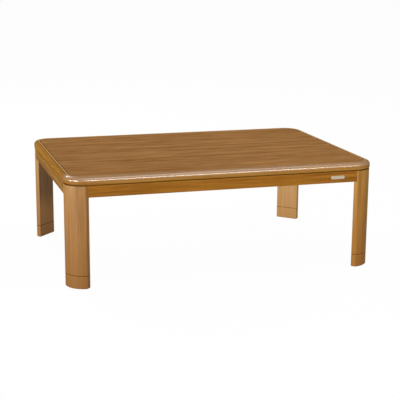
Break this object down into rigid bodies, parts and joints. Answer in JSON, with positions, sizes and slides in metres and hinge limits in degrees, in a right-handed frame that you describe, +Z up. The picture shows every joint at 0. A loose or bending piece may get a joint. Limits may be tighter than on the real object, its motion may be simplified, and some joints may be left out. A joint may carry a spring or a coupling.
{
  "type": "heated low table",
  "caption": "Low wooden kotatsu table: lift-off rounded top, curved plank legs set across the corners with pull-off extensions, aprons, and a guarded electric heater underneath.",
  "frame": {"origin": "on the floor under the middle of the table's top", "axes": "+X along the table, to the right seen from the front; +Y towards the back; +Z up"},
  "size_m": [1.2, 0.85, 0.415],
  "materials": {
    "wood_top": "satin varnish, grain along the table",
    "wood_edge": "gloss varnish, grain along each edge",
    "wood_frame": "satin varnish, grain along each piece",
    "wood_leg": "satin varnish, upright grain",
    "board_core": "raw particle board",
    "backing_sheet": "smooth laminate",
    "wood_dowel": "raw beech",
    "plate_silver": "satin, left bare",
    "zinc_steel": "zinc plated",
    "soft_pad": "soft",
    "glide_plastic": "hard, smooth",
    "housing_steel": "satin enamel",
    "reflector_bright": "bright rolled",
    "quartz": "clear quartz",
    "coil_wire": "oxidised heating wire",
    "terminal_brass": "plain",
    "ceramic": "fired ceramic, half gloss",
    "fan_plastic": "heat resisting",
    "guard_wire": "bright plated",
    "spring_steel": "plain",
    "inlet_plastic": "moulded",
    "lead_sleeve": "woven heat sleeve over silicone"
  },
  "bodies": {
    "frame": {"apron_front": "wood_frame", "rail_front": "wood_frame", "apron_right": "wood_frame", "rail_right": "wood_frame", "apron_back": "wood_frame", "rail_back": "wood_frame", "apron_left": "wood_frame", "rail_left": "wood_frame", "leg_fl": "wood_leg", "leg_fr": "wood_leg", "leg_bl": "wood_leg", "leg_br": "wood_leg", "rest_pads": "soft_pad", "apron_dowels": "wood_dowel", "corner_brackets": "zinc_steel", "bracket_screws": "zinc_steel", "leg_bolts": "zinc_steel", "leg_washers": "zinc_steel", "leg_nuts": "zinc_steel", "nameplate": "plate_silver", "heater_housing": "housing_steel", "heater_screws": "zinc_steel", "heater_reflector": "reflector_bright", "heater_tubes": "quartz", "tube_coils": "coil_wire", "tube_terminals": "terminal_brass", "tube_holders": "ceramic", "fan_motor": "housing_steel", "guard_grille": "guard_wire", "guard_clips": "spring_steel", "thermostat": "fan_plastic", "thermal_fuse": "ceramic", "terminal_block": "ceramic", "inlet_socket": "inlet_plastic", "inlet_pins": "terminal_brass", "heater_leads": "lead_sleeve"},
    "top": {"top_core": "board_core", "top_veneer": "wood_top", "top_backing": "backing_sheet", "edging_front": "wood_edge", "edging_right": "wood_edge", "edging_back": "wood_edge", "edging_left": "wood_edge", "edging_corner_fl": "wood_edge", "edging_corner_fr": "wood_edge", "edging_corner_bl": "wood_edge", "edging_corner_br": "wood_edge"},
    "fan": {"fan_wheel": "fan_plastic"},
    "extension_fl": {"leg_extension_fl": "wood_leg", "extension_pins_fl": "zinc_steel", "foot_glide_fl": "glide_plastic"},
    "extension_fr": {"leg_extension_fr": "wood_leg", "extension_pins_fr": "zinc_steel", "foot_glide_fr": "glide_plastic"},
    "extension_bl": {"leg_extension_bl": "wood_leg", "extension_pins_bl": "zinc_steel", "foot_glide_bl": "glide_plastic"},
    "extension_br": {"leg_extension_br": "wood_leg", "extension_pins_br": "zinc_steel", "foot_glide_br": "glide_plastic"}
  },
  "joints": [
    {"name": "top_lift", "type": "slide", "parent": "frame", "child": "top", "axis": [0, 0, 1], "range_m": [0, 0.12]},
    {"name": "extension_fl_pull", "type": "slide", "parent": "frame", "child": "extension_fl", "axis": [0, 0, -1], "range_m": [0, 0.05]},
    {"name": "extension_fr_pull", "type": "slide", "parent": "frame", "child": "extension_fr", "axis": [0, 0, -1], "range_m": [0, 0.05]},
    {"name": "extension_bl_pull", "type": "slide", "parent": "frame", "child": "extension_bl", "axis": [0, 0, -1], "range_m": [0, 0.05]},
    {"name": "extension_br_pull", "type": "slide", "parent": "frame", "child": "extension_br", "axis": [0, 0, -1], "range_m": [0, 0.05]},
    {"name": "fan_spin", "type": "hinge", "parent": "frame", "child": "fan", "pos_m": [0, 0, 0.3558], "axis": [0, 0, 1], "continuous": true}
  ]
}
